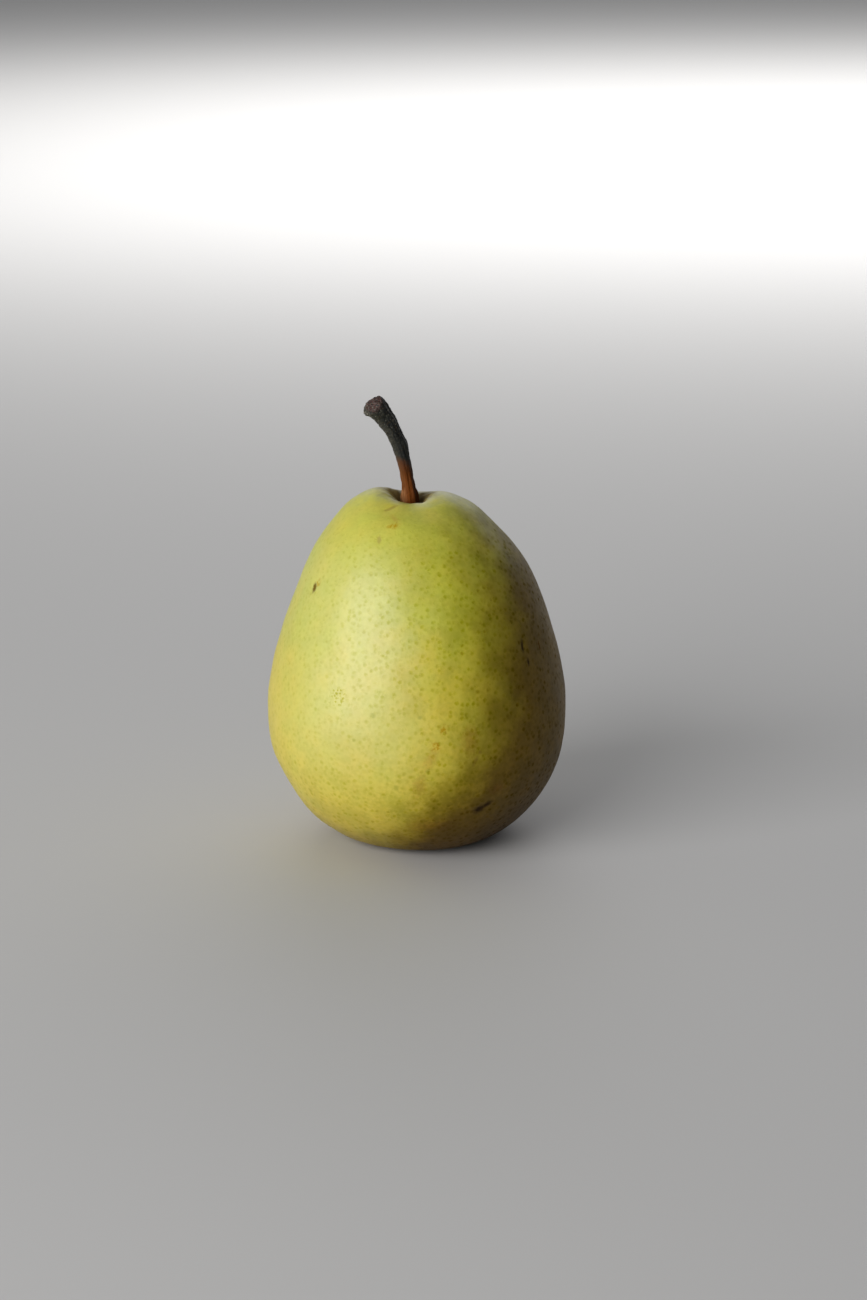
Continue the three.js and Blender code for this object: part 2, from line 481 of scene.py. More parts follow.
SMUDGES = [                                 # soft ochre stains
    Mark(-85, 29, 2.0, 4.0, 25), Mark(-89, 22.6, 2.2, 4.5, 12), Mark(-112, 79.6, 1.0, 2.4, -40),
    Mark(-84, 11, 8.0, 3.5), Mark(-70, 33, 3.0, 5.0), Mark(-58, 20, 3.0, 2.4),
    Mark(60, 30, 4.0, 6.0, 20), Mark(130, 20, 5.0, 4.0), Mark(170, 60, 4.0, 5.0),
]
SPOTS = [                                   # larger green dots
    Mark(-107, 38.7, 0.9, 0.9), Mark(-98, 21.9, 0.8, 1.0), Mark(-86, 26.2, 0.7, 0.9),
    Mark(-89, 38.7, 0.8, 0.7), Mark(-114, 32.7, 0.6, 0.6), Mark(95, 49, 0.9, 0.9),
]
BRUISES = [                                 # dark and pressed in
    Mark(-63.5, 14.9, 2.6, 1.8, -20, 0.25), Mark(-60.5, 15.9, 2.4, 1.1, -35, 0.1),
    Mark(-40, 51.3, 0.7, 2.8, 5, 0.2), Mark(-38.5, 47.6, 0.6, 1.6),
    Mark(25, 22, 1.2, 0.8, 30, 0.2),
]
CLUSTERS = [Mark(-122, 42, 2.4, 2.8, 20), Mark(60, 40, 2.0, 1.5)]   # crowded pores


def spot_on(piece, mark):
    """Where a mark lies on the skin, and the turn of its box: right, up and out."""
    angle = math.radians(mark.angle)
    outward = Vector((math.cos(angle), math.sin(angle), 0))
    hit, place, normal, _ = piece.ray_cast(outward * OUTSIDE + UP * mark.height * MM, -outward)
    if not hit:
        raise RuntimeError(f"no skin at {mark}")
    right = UP.cross(normal).normalized()
    up = normal.cross(right)
    turn = Matrix((right, up, normal)).transposed().to_quaternion()
    turn @= Matrix.Rotation(-math.radians(mark.slant), 3, "Z").to_quaternion()
    return place, turn


def marks(r, piece, group, edge=0.35, ragged=0.25):
    """One mask for a group of marks, with slightly ragged outlines."""
    wobble = r.noise(0.5 * MM, 2, swing=ragged)
    masks = []
    for mark in group:
        place, turn = spot_on(piece, mark)
        size = (mark.wide * MM, mark.tall * MM, MARK_REACH)
        masks.append(r.blob(place, turn.to_euler(), size, edge, wobble))
    return r.most(*masks)


# ---- Fruit ----

def fruit_profile(s):
    """Radius and height of the fruit's half section, from the basin up to the cavity."""
    floor = s.crown_height - s.cavity_depth
    return [
        (0, s.basin_depth), (4.5 * MM, s.basin_depth - 0.7 * MM), (9 * MM, 2.4 * MM),
        (s.rest_radius - s.rest_width / 2, 0), (s.rest_radius + s.rest_width / 2, 0),
        (21 * MM, 2.2 * MM), (28.4 * MM, 9 * MM), (34.3 * MM, 20.5 * MM),
        (s.belly_radius, s.belly_height), (33.4 * MM, 44 * MM), (29.7 * MM, 57 * MM),
        (23.9 * MM, 69 * MM), (17 * MM, 77.4 * MM),
        (s.crown_radius + 6.5 * MM, s.crown_height - 1.5 * MM),
        (s.crown_radius + 3 * MM, s.crown_height - 0.3 * MM), (s.crown_radius, s.crown_height),
        (s.crown_radius - 1.9 * MM, s.crown_height - MM),
        (s.crown_radius - 2.9 * MM, s.crown_height - 2.4 * MM),
        (2.5 * MM, floor + 0.9 * MM), (0, floor),
    ]


def grow(piece, s):
    """The uneven growth: squared body, ribs at the basin, two lobes at the crown, the lean."""
    x, y, z = points_of(piece).T
    radius, angle = np.hypot(x, y), np.arctan2(y, x)
    body = s.body_swell * (np.sin(2 * angle) + np.cos(3 * angle + 2.3))
    ribs = s.rib_swell * np.cos(5 * angle) * hump(z, 4 * MM, 9 * MM)
    ribs *= hump(radius, 18 * MM, 10 * MM)
    grown = 1 + (body * hump(z, 34 * MM, 22 * MM) + ribs) / s.belly_radius
    lobes = 0.6 + 0.9 * np.cos(2 * angle) - 0.5 * np.cos(angle) - 0.1 * np.sin(angle)
    crown = hump(radius, s.lobe_radius, s.lobe_width) * step(z, 70 * MM, 80 * MM)
    lean = s.crown_lean * step(z, s.lean_start, s.crown_height)
    foot = s.foot_shift * (1 - step(z, 0, s.foot_top))
    carry(piece, np.stack([x * grown + lean + foot, y * grown,
                           np.maximum(z + lobes * crown * MM, 0)], 1))


def weather(piece, s):
    """Broad swellings, folds round the stem, puckers round the calyx and sunk marks."""
    places = points_of(piece)
    x, y, z = places.T
    off_floor = step(z, 1 * MM, 8 * MM)
    relief = off_floor * s.swelling * cloud(places, 17 * MM)
    relief += off_floor * s.unevenness * cloud(places, 4.5 * MM)

    angle, radius = np.arctan2(y, x - s.crown_lean), np.hypot(x - s.crown_lean, y)
    folds = 0.6 * np.cos(5 * angle + 1) + 0.4 * np.cos(11 * angle + 90 * radius / s.belly_radius)
    folds *= hump(radius, 4.5 * MM, 1.8 * MM) * step(z, 70 * MM, 76 * MM)
    relief += s.crease_depth * folds

    angle, radius = np.arctan2(y, x - s.foot_shift), np.hypot(x - s.foot_shift, y)
    puckers = np.cos(10 * angle) * hump(radius, 6 * MM, 2.5 * MM)
    relief += s.pucker_depth * puckers * (1 - step(z, 6 * MM, 10 * MM))

    for mark in NICKS + BRUISES + CREASES:
        place, _ = spot_on(piece, mark)
        far = np.linalg.norm(places - np.array(place), axis=1)
        relief -= mark.depth * MM * hump(far, 0, DENT_REACH)
    push(piece, "NORMAL", relief)


class PEAR_OT_fruit(bpy.types.Operator):
    """Turn, grow and finish the fruit with its skin"""
    bl_idname = "pear.fruit"
    bl_label = "Fruit"

    def execute(self, context):
        s, c = context.scene.pear_fruit, context.scene.pear_colours
        piece = turned("pear_fruit", smooth_through(fruit_profile(s), 2 * MM), s.sides)
        grow(piece, s)
        smooth(piece, 2)
        context.view_layer.update()
        weather(piece, s)
        require_closed(piece)
        require_fit(piece, "fruit", SLACK)
        context.view_layer.update()
        dress(piece, skin(c, s, piece), "fruit")
        return {"FINISHED"}


# ---- Skin ----

LIT_TO_SHADED = (-20 * MM, 24 * MM)    # from the lit left, with its painted highlight, to the shaded right, with its painted shade, along X


def ripened(r, c, side, blush_and_shade):
    """Ground colour: green above, yellow below, in soft blotches, with a pale waxy bloom that is
    mostly a painted highlight on the lit left, a bronze colour on the right that is partly
    painted shade, and painted shade near the foot and far round the shaded side.
    """
    x, _, z = r.split(r.place)
    ripe = r.plus(r.ramp(z, 8 * MM, 74 * MM, 0.95, 0.1), r.ramp(x, -36 * MM, -24 * MM, 0.5, 0.0),
                  r.noise(24 * MM, 2, swing=0.55), r.noise(6 * MM, 3, swing=0.6))
    ground = r.mix(ripe, c.skin_green, c.skin_yellow)
    # Pale bloom, mostly a painted highlight: strongest on the upper left, where the key light's
    # reflection falls.
    bloom = r.plus(r.ramp(side, -26 * MM, 12 * MM, 0.5, 0.0), r.noise(5 * MM, 3, swing=0.25))
    bloom = r.times(bloom, r.ramp(side, -36 * MM, -22 * MM, 0.4, 1.0),
                    r.ramp(z, 12 * MM, 36 * MM, 0.25, 1.0), r.ramp(z, 66 * MM, 78 * MM, 1.0, 0.3))
    ground = r.mix(bloom, ground, c.skin_bloom_and_painted_highlight)
    # Bronze on the right: partly its own colour, partly painted shade.
    ground = r.mix(r.ramp(blush_and_shade, 3 * MM, 27 * MM, 0.0, 0.97), ground, c.skin_bronze_and_painted_shade)
    # Painted shade: darker towards the foot, and darker again far round the shaded right.
    ground = r.stain(r.ramp(z, 0.0, 18 * MM, 1.0, 0.0), ground, c.foot)
    return r.stain(r.ramp(blush_and_shade, 24 * MM, 48 * MM, 0.0, 0.8), ground, c.foot)


def pores(r, spacing, small, large):
    """Round dots with soft edges, each cut by the skin through a cell of its own.

    Gives the dots, their halos and each cell's own random colour.
    """
    cells = r.node("TexVoronoi", {"Vector": r.place, "Scale": 1 / spacing, "Randomness": 1.0})
    away = r.vector("SUBTRACT", r.place, cells.outputs["Position"])
    above = r.vector("DOT_PRODUCT", away, r.outward)
    reach = r.vector("LENGTH", away)
    flat = r.math("SUBTRACT", r.times(reach, reach), r.times(above, above))
    far = r.plus(r.math("SQRT", r.most(flat, 0.0)), r.noise(0.5 * MM, 2, swing=0.35 * MM))
    there = r.ramp(r.math("ABSOLUTE", above), 0.25 * spacing, 0.6 * spacing, 1.0, 0.0)
    dot = r.times(r.ramp(far, small * 0.35, small, 1.0, 0.0), there)
    halo = r.times(r.ramp(far, small * 0.5, large, 1.0, 0.0), there)
    return dot, halo, cells.outputs["Color"]


def pored(r, c, s, piece, side, ground):
    """Green patches, and pores with green halos; a few are brown, and some crowd together.
    Patches and pores grow stronger towards the shaded right, partly as painted shade, and towards
    the foot.
    """
    z = r.split(r.place)[2]
    lower = r.ramp(z, 14 * MM, 34 * MM, 1.9, 1.0)
    patchy = r.plus(r.noise(5 * MM, 4, swing=1.1), r.noise(0.9 * MM, 3, swing=0.9))
    patchy = r.times(r.ramp(patchy, -0.6, 0.6), lower, r.ramp(side, *LIT_TO_SHADED, 0.34, 0.9))
    ground = r.stain(patchy, ground, c.halo)

    dot, halo, chance = pores(r, s.pore_spacing, 0.38 * MM, 0.74 * MM)
    red, green, _ = r.node("SeparateColor", {"Color": chance}).outputs
    # Stronger towards the shaded right, partly as painted shade, and towards the foot.
    stronger = r.most(r.ramp(side, *LIT_TO_SHADED, 0.65, 2.1), r.times(lower, 0.65))
    stronger = r.times(stronger, r.ramp(z, 72 * MM, 80 * MM, 1.0, 0.25))
    weight = r.times(r.math("MULTIPLY_ADD", r.times(red, red), 0.36, 0.1), stronger)
    halo = r.math("MULTIPLY", halo, weight, clamp=True)
    ground = r.stain(halo, ground, c.halo)
    dye = r.mix(r.ramp(green, 0.86, 0.9), c.pore, c.pore_brown)
    ground = r.stain(r.times(dot, weight, 0.6), ground, dye)

    fine, _, _ = pores(r, 0.85 * MM, 0.34 * MM, 0.5 * MM)
    crowd = r.times(fine, marks(r, piece, CLUSTERS, 0.5))
    return r.stain(r.times(crowd, 0.65), ground, c.crowd), dot, halo, crowd


def russeted(r, c, s, ground):
    """A thin film round the crown, brown lips, and dark corky russet in both hollows; in the stem
    cavity the brown lips and far wall are partly painted shade.
    """
    torn = r.noise(3 * MM, 4, swing=0.45)
    ragged = r.noise(1.5 * MM, 3, swing=0.15)
    top = s.crown_height - 2 * MM
    shoulder = (s.crown_lean + 2 * MM, 5 * MM, top)
    lip = (s.crown_lean - 1 * MM, 0, top)
    far_wall = (s.crown_lean, 1.5 * MM, top)
    basin = (s.foot_shift, 0, s.basin_depth - 2 * MM)
    upright = (0, 0, 0)
    film = r.blob(shoulder, upright, (20 * MM, 15 * MM, 12 * MM), 0.2, torn)
    ground = r.mix(r.times(film, 0.72), ground, c.film)
    webbed = r.blob(basin, upright, (15 * MM, 15 * MM, 7 * MM), 0.2, torn)
    ground = r.mix(r.times(webbed, 0.5), ground, c.brown_rim_and_shade)
    # Brown lip of the stem cavity, partly painted shade.
    brown_rim_and_shade = r.blob(lip, upright, (10 * MM, 8 * MM, 12 * MM), 0.45, ragged)
    ground = r.mix(r.times(brown_rim_and_shade, 0.75), ground, c.brown_rim_and_shade)
    # Russet in both hollows; on the stem cavity's far wall it is partly painted shade.
    russet_and_painted_shade = r.most(r.blob(far_wall, upright, (8 * MM, 7.6 * MM, 9 * MM), 0.45, ragged),
                   r.blob(basin, upright, (8 * MM, 8 * MM, 7 * MM), 0.4, torn))
    return r.mix(r.times(russet_and_painted_shade, 0.75), ground, c.russet), brown_rim_and_shade, russet_and_painted_shade


def healed(r, c, piece, ground):
    """Flecks, smudges, green spots, creases, nicks and bruises."""
    flecks = r.times(marks(r, piece, FLECKS, 0.2, 0.6),
                     r.ramp(r.noise(0.9 * MM, 3), -0.25, 0.2, 0.1, 0.85))
    ground = r.stain(flecks, ground, c.ochre)
    ground = r.stain(r.times(marks(r, piece, SMUDGES, 0.0, 0.6), 0.5), ground, c.ochre)
    ground = r.stain(marks(r, piece, SPOTS, 0.2), ground, c.pore)
    ground = r.stain(r.times(marks(r, piece, CREASES), 0.6), ground, c.pore_brown)
    nicks = marks(r, piece, NICKS)
    ground = r.mix(r.times(nicks, 0.85), ground, c.scar)
    bruised = r.times(marks(r, piece, BRUISES, 0.1), 0.9)
    return r.mix(bruised, ground, c.bruise), flecks, nicks, bruised


def skin(c, s, piece):
    """Waxy skin: green drifting to yellow, pores, russet at both ends and healed marks, with a
    painted highlight on its left and painted shade on its right, near its foot and in the stem
    cavity.
    """
    r = Recipe("pear_skin")
    x, _, z = r.split(r.place)
    # side runs from the lit left to the shaded right; the measure below also reaches further left
    # low down, so the painted shade sweeps round the lower part.
    side = r.plus(x, r.noise(14 * MM, 2, swing=4 * MM))
    blush_and_shade = r.plus(side, r.ramp(z, 0.0, 34 * MM, 23 * MM, 0.0), r.noise(5 * MM, 4, swing=4 * MM))
    ground = ripened(r, c, side, blush_and_shade)
    ground, dot, halo, crowd = pored(r, c, s, piece, side, ground)
    ground, brown_rim_and_shade, russet_and_painted_shade = russeted(r, c, s, ground)
    ground, flecks, nicks, bruised = healed(r, c, piece, ground)

    matte = r.math("SUBTRACT", 1.0, r.most(halo, nicks, bruised, flecks, brown_rim_and_shade, crowd), clamp=True)
    # Reflection falls off towards the shaded right as painted shade; pores, marks, flecks and the
    # cavity's brown lips are matte.
    sheen_with_painted_shade = r.times(r.ramp(blush_and_shade, 0.0, 20 * MM, 1.0, 0.2), matte)
    rough = r.plus(r.ramp(russet_and_painted_shade, 0.0, 1.0, 0.54, 0.8), r.times(halo, 0.07),
                   r.noise(1.6 * MM, 3, swing=0.05))
    grain = r.noise(1.1 * MM, 2, swing=0.3)
    relief = r.plus(grain, r.times(dot, -0.5), r.times(nicks, -1.5))
    return r.finish(Base_Color=ground, Roughness=rough, Normal=r.bump(relief, 0.035 * MM),
                    Specular_IOR_Level=sheen_with_painted_shade, Coat_Weight=r.times(sheen_with_painted_shade, 0.45),
                    Coat_Roughness=0.42, Subsurface_Weight=0.1,
                    Subsurface_Radius=(2.0, 1.6, 0.5), Subsurface_Scale=MM)


# ---- Stem ----

STEM_LINE = [(-2, 0, 72), (-1.8, 0, 81), (-2.4, 0, 86.5), (-3.4, 0, 91.5),
             (-5.3, -0.2, 96.8), (-7.7, -0.5, 100.4), (-10.7, -1, 104.1)]   # millimetres
STEM_SIDES = 44


def bent_stem_line():
    """The stem's middle line as a curve object to bend along."""
    line = smooth_through(STEM_LINE, 0.4) * MM
    bpy.ops.object.select_all(action="DESELECT")
    bpy.ops.curve.primitive_nurbs_path_add()
    path = bpy.context.object
    path.data.splines.remove(path.data.splines[0])
    spline = path.data.splines.new("POLY")
    spline.points.add(len(line) - 1)
    for point, place in zip(spline.points, line):
        point.co = (*place, 1)
    path.data.twist_mode = "MINIMUM"
    size = float(np.linalg.norm(np.diff(line, axis=0), axis=1).sum())
    return path, size


def stem_profile(s, size):
    """Radius and place along the straight stem, from its root to its free end."""
    knob = s.knob_radius
    return [
        (0, 0), (s.root_radius, 0), (s.foot_radius, 3 * MM), (s.foot_radius, 9.6 * MM),
        (1.8 * MM, 12 * MM), (s.waist_radius, 16 * MM), (1.75 * MM, 21 * MM),
        (1.9 * MM, 25 * MM), (2.1 * MM, 29 * MM), (knob - 0.1 * MM, size - 2.2 * MM),
        (knob, size - 0.9 * MM), (knob - 0.1 * MM, size - 0.3 * MM),
        (knob - 0.5 * MM, size), (0, size - 0.1 * MM),
    ]


def bark_wrinkles(piece, s):
    """Lengthwise grooves that wander a little, wrinkles, and a finer grain on the old bark."""
    places = points_of(piece)
    x, y, along = places.T
    angle = np.arctan2(y, x)
    wander = 0.9 * np.sin(along / (5 * MM))
    relief = s.groove_depth * (np.cos(7 * angle + wander) + 0.6 * np.cos(11 * angle - 2 * wander))
    relief += s.bark_relief * cloud(places, (0.8 * MM, 0.8 * MM, 3 * MM), 3)
    aged = step(along, 16 * MM, 22 * MM)
    return relief + 0.09 * MM * aged * cloud(places, (0.5 * MM, 0.5 * MM, 0.6 * MM), 2)


def bark_forms(piece, s, size):
    """The old bud and a bulge outside the bend, a flat back, and a slim waist inside it."""
    x, y, along = points_of(piece).T
    angle = np.arctan2(y, x)
    inner, outer = hump(np.abs(angle), math.pi, 1.0), hump(angle, 0, 1.0)
    back = hump(angle, math.pi / 2, 0.9)
    relief = s.knot_height * outer * hump(along, 22 * MM, 1.5 * MM)
    relief += 0.3 * MM * outer * hump(along, size - 5.6 * MM, 1.5 * MM)
    relief -= 0.4 * MM * back * step(along, size - 4 * MM, size - MM)
    slim = step(along, 10 * MM, 12 * MM) * (1 - step(along, 25 * MM, 28 * MM))
    relief -= 0.27 * MM * outer * slim
    waist = step(along, size - 6.5 * MM, size - 3.5 * MM)
    waist *= 1 - step(along, size - 2 * MM, size - 1.2 * MM)
    return relief - MM * inner * (0.42 * waist + 0.18 * hump(along, 12.5 * MM, 2 * MM))


def broken_face(piece, size):
    """The free end's domed, rough break, which slopes down at its front."""
    places = points_of(piece)
    x, y, along = places.T
    face = step(along, size - 1.2 * MM, size - 0.3 * MM)
    dome = 0.6 - 0.13 * (x / MM) ** 2 - 0.17 * (y / MM) ** 2
    rough = 0.2 * cloud(places, 0.8 * MM, 3)
    front = 0.2 * np.clip(-y, 0, 3 * MM) * step(along, size - 4.5 * MM, size - 2 * MM)
    return face * (dome + rough) * MM - front


class PEAR_OT_stem(bpy.types.Operator):
    """Turn the stem, roughen its bark, bend it and colour it"""
    bl_idname = "pear.stem"
    bl_label = "Stem"

    def execute(self, context):
        s, c = context.scene.pear_stem, context.scene.pear_colours
        path, size = bent_stem_line()
        profile = smooth_through(stem_profile(s, size), 0.5 * MM)
        piece = turned("pear_stem", profile, STEM_SIDES)
        smooth(piece, 2)
        x, y, _ = points_of(piece).T
        off_poles = step(np.hypot(x, y), 0.6 * MM, 1.4 * MM)
        relief = (bark_wrinkles(piece, s) + bark_forms(piece, s, size)) * off_poles
        broken = broken_face(piece, size)
        push(piece, "NORMAL", relief)
        push(piece, "Z", broken)
        straight = piece.data.attributes.new("straight", "FLOAT_VECTOR", "POINT")
        straight.data.foreach_set("vector", points_of(piece).ravel())
        x, y, z = points_of(piece).T
        carry(piece, np.stack([y, -x, z], 1))       # its right side goes outside the bend
        modify(piece, "CURVE", object=path, deform_axis="POS_Z")
        bpy.data.objects.remove(path)
        require_closed(piece)
        require_fit(piece, "stem", SLACK)
        dress(piece, bark(c, size), "stem")
        return {"FINISHED"}


def young_bark(r, c, x, along, streak):
    """Rust-brown bark, with painted light on its left edge and painted shade in its grooves and
    at its right; darker towards the old bark above.
    """
    # Painted shade along the grooves.
    young = r.mix(r.ramp(streak, -0.6, 0.4, 0.5, 1.0), c.dark_bark_and_shade, c.bark_rust)
    # Painted light on the left edge.
    painted_lit_edge = r.times(r.ramp(x, -1.6 * MM, -0.2 * MM, 0.85, 0.0), r.ramp(streak, -0.5, 0.3))
    young = r.mix(painted_lit_edge, young, c.young_bark_painted_light)
    # Painted shade on the right.
    shaded = r.ramp(r.plus(x, r.times(streak, 0.8 * MM)), 0.1 * MM, 1.5 * MM, 0.0, 0.85)
    young = r.mix(shaded, young, c.dark_bark_and_shade)
    # Darker towards the old bark above.
    return r.mix(r.ramp(along, 10 * MM, 19 * MM, 0.0, 0.75), young, c.dark_bark_and_shade)


def old_bark(r, c, x, straight, mottled):
    """Near-black bark with grey patches and brown flecks, with painted light on its left."""
    old = r.mix(r.ramp(mottled, -0.1, 0.6), c.bark_dark, c.bark_grey)
    flecked = r.ramp(r.noise(0.6 * MM, 3, place=straight), 0.05, 0.45, 0.0, 0.7)
    old = r.mix(flecked, old, c.bark_fleck)
    # Painted light on the left side.
    lit_side = r.times(r.ramp(x, -2.4 * MM, 0.4 * MM, 1.0, 0.0),
                       r.ramp(mottled, -0.5, 0.3, 0.3, 1.0))
    return r.mix(lit_side, old, c.old_bark_painted_light)


def pith(r, c, straight, speckle):
    """The reddish wood of the broken end, with pale threads."""
    end = r.mix(r.ramp(speckle, -0.3, 0.25), c.bark_dark, c.pith)
    threads = r.math("ABSOLUTE", r.noise(0.9 * MM, 2, place=straight))
    return r.mix(r.ramp(threads, 0.0, 0.09, 0.75, 0.0), end, c.pith_pale)


def bark(c, size):
    """Streaked rust-brown young bark below, near-black old bark above, a broken reddish end."""
    r = Recipe("pear_bark")
    straight = r.attribute("straight")
    x, y, along = r.split(straight)
    stretched = r.node("Mapping", {"Vector": straight, "Scale": (1, 1, 0.1)}).outputs["Vector"]
    streak = r.noise(0.5 * MM, 3, place=stretched)
    blotch = r.noise(2.5 * MM, 3, place=straight)
    speckle = r.noise(0.35 * MM, 2, place=straight)

    border = r.plus(along, r.times(blotch, 1.2 * MM), r.times(streak, 1.2 * MM), r.times(x, 0.9))
    ground = r.mix(r.ramp(border, 17.2 * MM, 19.6 * MM), young_bark(r, c, x, along, streak),
                   old_bark(r, c, x, straight, r.plus(blotch, speckle)))
    slope = r.plus(along, r.times(y, -0.5), r.times(r.math("MINIMUM", x, 0.0), 0.5),
                   r.times(blotch, 0.7 * MM))
    broken = r.ramp(slope, size - 1.0 * MM, size + 0.1 * MM)
    ground = r.mix(broken, ground, pith(r, c, straight, speckle))
    specks = r.times(r.ramp(r.noise(0.5 * MM, 3, place=straight), 0.19, 0.42),
                     r.ramp(along, 22 * MM, size - 2 * MM))
    ground = r.mix(specks, ground, c.bark_pale)

    relief = r.plus(streak, r.times(speckle, 0.8))
    return r.finish(Base_Color=ground, Roughness=0.6, Normal=r.bump(relief, 0.06 * MM),
                    Specular_IOR_Level=r.ramp(border, 15 * MM, 19 * MM, 0.06, 0.3))


# ---- Calyx ----

CUP_SIDES = 40
STAMEN_SIDES = 8


def cup(s):
    """The dried cup, rooted in the flesh with its mouth down."""
    mouth, outer = s.mouth_radius, s.cup_radius
    profile = [
        (0, s.root_height - 2.2 * MM), (mouth - 0.3 * MM, s.root_height - 2.3 * MM),
        (mouth, s.mouth_height + 0.3 * MM), (mouth + 0.4 * MM, s.mouth_height),
        (outer - 0.2 * MM, s.mouth_height + 0.2 * MM), (outer, s.mouth_height + MM),
        (outer - 0.1 * MM, s.root_height - 0.6 * MM), (outer - 0.8 * MM, s.root_height),
        (0, s.root_height),
    ]
    piece = turned("cup", smooth_through(profile, 0.5 * MM), CUP_SIDES)
    places = points_of(piece)
    x, y, z = places.T
    wrinkles = np.cos(10 * np.arctan2(y, x)) * (1 - step(z, 5 * MM, 6.5 * MM))
    relief = 0.12 * MM * wrinkles + 0.12 * MM * cloud(places, 0.9 * MM, 3)
    push(piece, "NORMAL", relief * step(np.hypot(x, y), 0.3 * MM, 1.2 * MM))
    smooth(piece, 1)
    return piece


def sepal(s, turn, rng):
    """One dried leaf: narrowing to a point, hollowed, and curled down out of the basin."""
    bpy.ops.object.select_all(action="DESELECT")
    bpy.ops.mesh.primitive_grid_add(x_subdivisions=18, y_subdivisions=10, size=1)
    piece = bpy.context.object
    bpy.ops.object.mode_set(mode="EDIT")
    bpy.ops.transform.resize(value=(s.sepal_length, s.sepal_width, 1))
    bpy.ops.object.mode_set(mode="OBJECT")
    x, y, _ = points_of(piece).T
    along = x / s.sepal_length + 0.5
    across = 2 * y / s.sepal_width
    narrow = 1 - 0.9 * along ** 2
    curl, twist, sway = rng.uniform(0.9, 1.5), rng.uniform(-0.6, 0.6), rng.uniform(-0.5, 0.5)
    wave = 0.25 * np.sin(7 * along + turn) * across ** 2
    rise = 4.5 - 0.9 * along - curl * along ** 3 + 0.45 * across ** 2 * along * narrow
    rise += twist * across * along * narrow + wave * narrow
    out = x + s.sepal_length / 2 + s.cup_radius - 0.9 * MM
    carry(piece, swung(out, y * narrow + sway * MM * along ** 2, rise * MM, turn))
    push(piece, "Z", 0.15 * MM * cloud(points_of(piece), 1.1 * MM, 3))
    modify(piece, "SOLIDIFY", thickness=s.sepal_thickness, offset=0.0)
    smooth(piece, 2)
    return piece


def stamen(s, turn, rng):
    """One dead thread with a shrunken head, hanging from the cup's mouth."""
    size = rng.uniform(2.2, 3.2) * MM
    profile = [(0, 0), (0.16 * MM, 0.05 * MM), (0.1 * MM, size * 0.4),
               (0.08 * MM, size - 0.5 * MM), (0.2 * MM, size - 0.3 * MM),
               (0.17 * MM, size - 0.05 * MM), (0, size)]
    piece = turned("stamen", smooth_through(profile, 0.25 * MM), STAMEN_SIDES)
    x, y, z = points_of(piece).T
    ring = s.mouth_radius - rng.uniform(0.5, 1.1) * MM
    lean, sway = rng.uniform(-0.2, 0.5), rng.uniform(-0.3, 0.3)
    out = ring + x + lean * z + 60 * z ** 2 * lean
    aside = y + sway * z + 0.15 * MM * np.sin(z / (0.6 * MM))
    carry(piece, swung(out, aside, s.root_height - 2.4 * MM - z, turn))
    only(piece)
    bpy.ops.object.mode_set(mode="EDIT")
    bpy.ops.mesh.select_all(action="SELECT")
    bpy.ops.mesh.normals_make_consistent(inside=False)
    bpy.ops.object.mode_set(mode="OBJECT")
    bpy.ops.object.shade_smooth()
    return piece


class PEAR_OT_calyx(bpy.types.Operator):
    """Make the dried cup, its sepals and stamens"""
    bl_idname = "pear.calyx"
    bl_label = "Calyx"

    def execute(self, context):
        s, c = context.scene.pear_calyx, context.scene.pear_colours
        rng = np.random.default_rng(SEED)
        pieces = [cup(s)]
        pieces += [sepal(s, TURN * (i + 0.5) / s.sepals, rng) for i in range(s.sepals)]
        pieces += [stamen(s, TURN * (i + rng.uniform(0, 0.8)) / s.stamens, rng)
                   for i in range(s.stamens)]
        piece = joined("pear_calyx", pieces)
        push(piece, "X", np.full(len(piece.data.vertices), context.scene.pear_fruit.foot_shift))
        require_closed(piece)
        require_fit(piece, "calyx", CURL_SLACK)
        dress(piece, dry_leaf(c), "calyx")
        return {"FINISHED"}


def dry_leaf(c):
    """Dry brown leaf with paler, worn patches."""
    r = Recipe("dry_calyx")
    brown = r.mix(r.ramp(r.noise(0.9 * MM, 4), 0.0, 0.6), c.calyx, c.calyx_pale)
    return r.finish(Base_Color=brown, Roughness=0.85,
                    Normal=r.bump(r.noise(0.3 * MM, 3), 0.08 * MM))


# ---- Stage ----

FLOOR_SIZE = 16                                 # metres, as are the lights' places and sizes
SKY_BRIGHTEST = Vector((0.0, 0.8, 0.55))        # towards this side, behind and above
SKY_RANGE = (-0.3, 0.9)                         # how squarely a ray faces it, dim to bright
CAMERA_PLACE = (3.7 * MM, -659.8 * MM, 239.9 * MM)
CAMERA_DIP = 16.5                               # degrees below level
CAMERA_LENS = 50                                # millimetres, as is the sensor
SENSOR_WIDTH = 22.3
NEAREST = 0.01


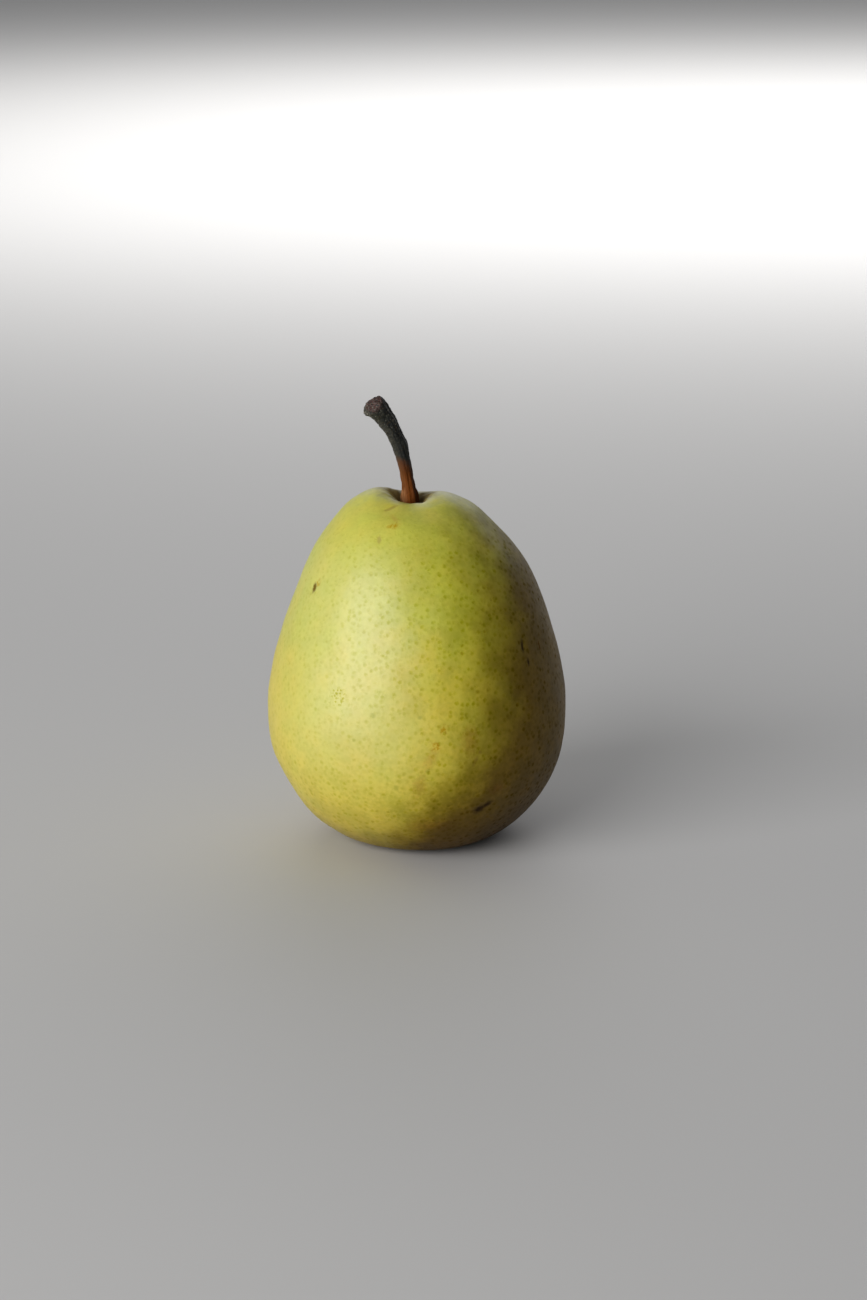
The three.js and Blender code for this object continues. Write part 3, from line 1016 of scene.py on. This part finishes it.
class PEAR_OT_stage(bpy.types.Operator):
    """Add the floor, the soft light and the camera"""
    bl_idname = "pear.stage"
    bl_label = "Stage"

    def execute(self, context):
        s = context.scene.pear_stage
        bpy.ops.object.select_all(action="DESELECT")
        bpy.ops.mesh.primitive_plane_add(size=FLOOR_SIZE)
        floor = context.object
        floor.name = "floor"
        pale = Recipe("pale_floor").finish(Base_Color=tuple(s.floor), Roughness=0.7)
        floor.data.materials.append(pale)
        soft_light("key_light", place=(-0.81, -0.87, 0.5), target=(0, 0, 0.045),
                   size=(1.1, 0.9), power=s.key_power)
        soft_light("back_light", place=(0.5, 1.4, 0.6), target=(0.5, 1.5, 0),
                   size=(1.8, 1.1), power=s.back_power)
        context.scene.world = studio_sky(s)
        context.scene.view_settings.view_transform = "Standard"
        bpy.ops.object.camera_add(location=CAMERA_PLACE,
                                  rotation=(math.radians(90 - CAMERA_DIP), 0, 0))
        camera = context.object
        camera.data.lens = CAMERA_LENS
        camera.data.sensor_width = SENSOR_WIDTH
        camera.data.clip_start = NEAREST
        context.scene.camera = camera
        return {"FINISHED"}


def soft_light(name, place, target, size, power):
    """A soft rectangular light, unseen itself, that faces a target."""
    bpy.ops.object.light_add(type="AREA", location=place)
    light = bpy.context.object
    light.name = name
    light.rotation_euler = (Vector(place) - Vector(target)).to_track_quat("Z", "Y").to_euler()
    light.data.shape = "RECTANGLE"
    light.data.size, light.data.size_y = size
    light.data.energy = power
    light.visible_camera = False


def studio_sky(s):
    """Soft light from all round, brighter from behind and above than from the front."""
    world = bpy.data.worlds.new("studio")
    world.use_nodes = True
    tree = world.node_tree
    back = tree.nodes["Background"]
    back.inputs["Color"].default_value = (*s.sky, 1)
    direction = tree.nodes.new("ShaderNodeTexCoord").outputs["Generated"]
    facing = tree.nodes.new("ShaderNodeVectorMath")
    facing.operation = "DOT_PRODUCT"
    facing.inputs[1].default_value = SKY_BRIGHTEST.normalized()
    tree.links.new(direction, facing.inputs[0])
    rise = tree.nodes.new("ShaderNodeMapRange")
    rise.interpolation_type = "SMOOTHSTEP"
    rise.inputs["From Min"].default_value, rise.inputs["From Max"].default_value = SKY_RANGE
    rise.inputs["To Min"].default_value = s.sky_low
    rise.inputs["To Max"].default_value = s.sky_high
    tree.links.new(facing.outputs["Value"], rise.inputs["Value"])
    tree.links.new(rise.outputs["Result"], back.inputs["Strength"])
    return world


# ---- Add-on ----

class PEAR_PT_panel(bpy.types.Panel):
    """Lists the pear's pieces and the stage"""
    bl_idname = "PEAR_PT_panel"
    bl_label = "Pear"
    bl_space_type = "VIEW_3D"
    bl_region_type = "UI"
    bl_category = "Pear"

    def draw(self, context):
        for operator in OPERATORS:
            self.layout.operator(operator.bl_idname)


GROUPS = {"pear_fruit": PearFruitSizes, "pear_stem": PearStemSizes,
          "pear_calyx": PearCalyxSizes, "pear_colours": PearColours,
          "pear_stage": PearStageSettings}
OPERATORS = (PEAR_OT_fruit, PEAR_OT_stem, PEAR_OT_calyx, PEAR_OT_stage)
CLASSES = (*GROUPS.values(), *OPERATORS, PEAR_PT_panel)


def register():
    for cls in CLASSES:
        bpy.utils.register_class(cls)
    for name, group in GROUPS.items():
        setattr(bpy.types.Scene, name, PointerProperty(type=group))


def unregister():
    for name in GROUPS:
        delattr(bpy.types.Scene, name)
    for cls in reversed(CLASSES):
        bpy.utils.unregister_class(cls)


def main():
    register()
    bpy.ops.pear.fruit()
    bpy.ops.pear.stem()
    bpy.ops.pear.calyx()
    bpy.ops.pear.stage()


if __name__ == "__main__":
    main()
